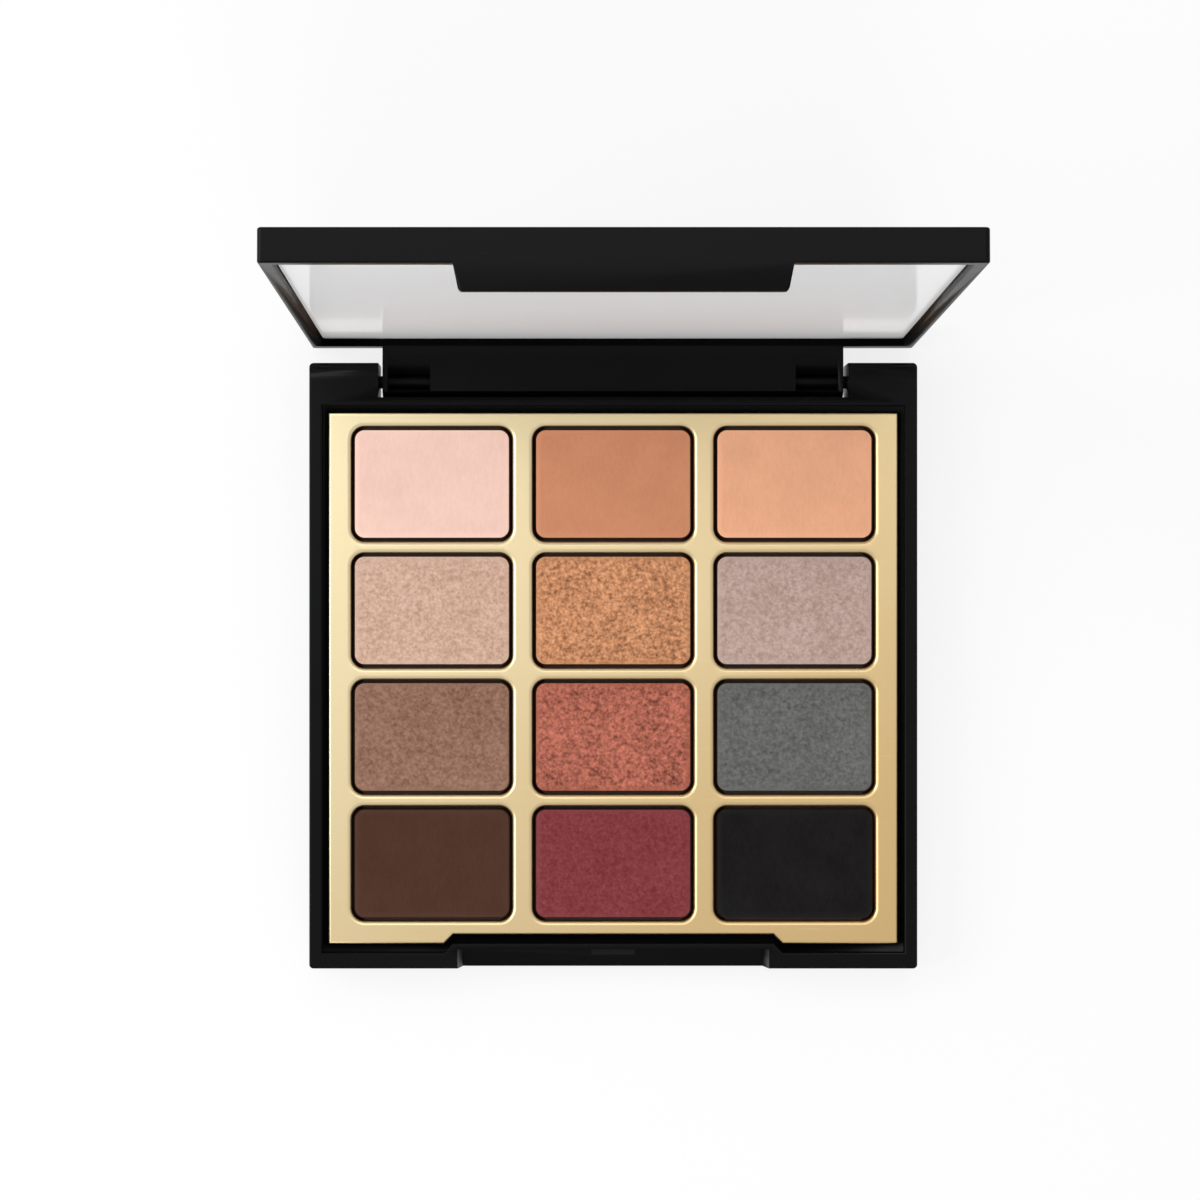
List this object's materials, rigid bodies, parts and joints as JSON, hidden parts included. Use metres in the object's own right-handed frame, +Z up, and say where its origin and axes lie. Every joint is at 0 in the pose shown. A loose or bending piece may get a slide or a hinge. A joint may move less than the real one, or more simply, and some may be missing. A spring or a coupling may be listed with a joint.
{
  "type": "eyeshadow palette",
  "caption": "Square hinged eyeshadow palette, black case, gold tray of pressed powder pans, mirror in the lid, shown open.",
  "frame": {"origin": "centre of the base's flat underside", "axes": "+X to the right, +Y towards the hinge, +Z up out of the powder trays"},
  "size_m": [0.115, 0.1282, 0.1157],
  "materials": {
    "black_plastic": "satin black moulding",
    "gold_plated_plastic": "satin champagne gold metallised",
    "mirror_glass": "silvered plate",
    "adhesive_sheet": "double-sided adhesive",
    "glue": "hot-melt glue",
    "pin_steel": "drawn wire",
    "pan_metal": "pressed sheet",
    "powder_pale_pink": "pressed matte powder",
    "powder_tan": "pressed matte powder",
    "powder_peach": "pressed matte powder",
    "powder_champagne": "pressed shimmer powder",
    "powder_gold": "pressed metallic powder",
    "powder_mauve": "pressed shimmer powder",
    "powder_taupe": "pressed shimmer powder",
    "powder_copper": "pressed metallic powder",
    "powder_grey": "pressed shimmer powder",
    "powder_dark_brown": "pressed matte powder",
    "powder_burgundy": "pressed matte powder",
    "powder_black": "pressed matte powder"
  },
  "bodies": {
    "base": {"base_shell": "black_plastic", "pan_tray": "gold_plated_plastic", "pan_glue_pads": "glue", "hinge_pin_left": "pin_steel", "hinge_pin_right": "pin_steel", "pan_row1_left": "pan_metal", "pan_row1_middle": "pan_metal", "pan_row1_right": "pan_metal", "pan_row2_left": "pan_metal", "pan_row2_middle": "pan_metal", "pan_row2_right": "pan_metal", "pan_row3_left": "pan_metal", "pan_row3_middle": "pan_metal", "pan_row3_right": "pan_metal", "pan_row4_left": "pan_metal", "pan_row4_middle": "pan_metal", "pan_row4_right": "pan_metal", "powder_pale_pink": "powder_pale_pink", "powder_tan": "powder_tan", "powder_peach": "powder_peach", "powder_champagne": "powder_champagne", "powder_gold": "powder_gold", "powder_mauve": "powder_mauve", "powder_taupe": "powder_taupe", "powder_copper": "powder_copper", "powder_grey": "powder_grey", "powder_dark_brown": "powder_dark_brown", "powder_burgundy": "powder_burgundy", "powder_black": "powder_black"},
    "lid": {"lid_shell": "black_plastic", "mirror": "mirror_glass", "mirror_tape": "adhesive_sheet"}
  },
  "joints": [
    {"name": "lid_hinge", "type": "hinge", "parent": "base", "child": "lid", "pos_m": [0, 0.054, 0.00455], "axis": [-1, 0, 0], "range_deg": [-92.3, 2.7]}
  ]
}
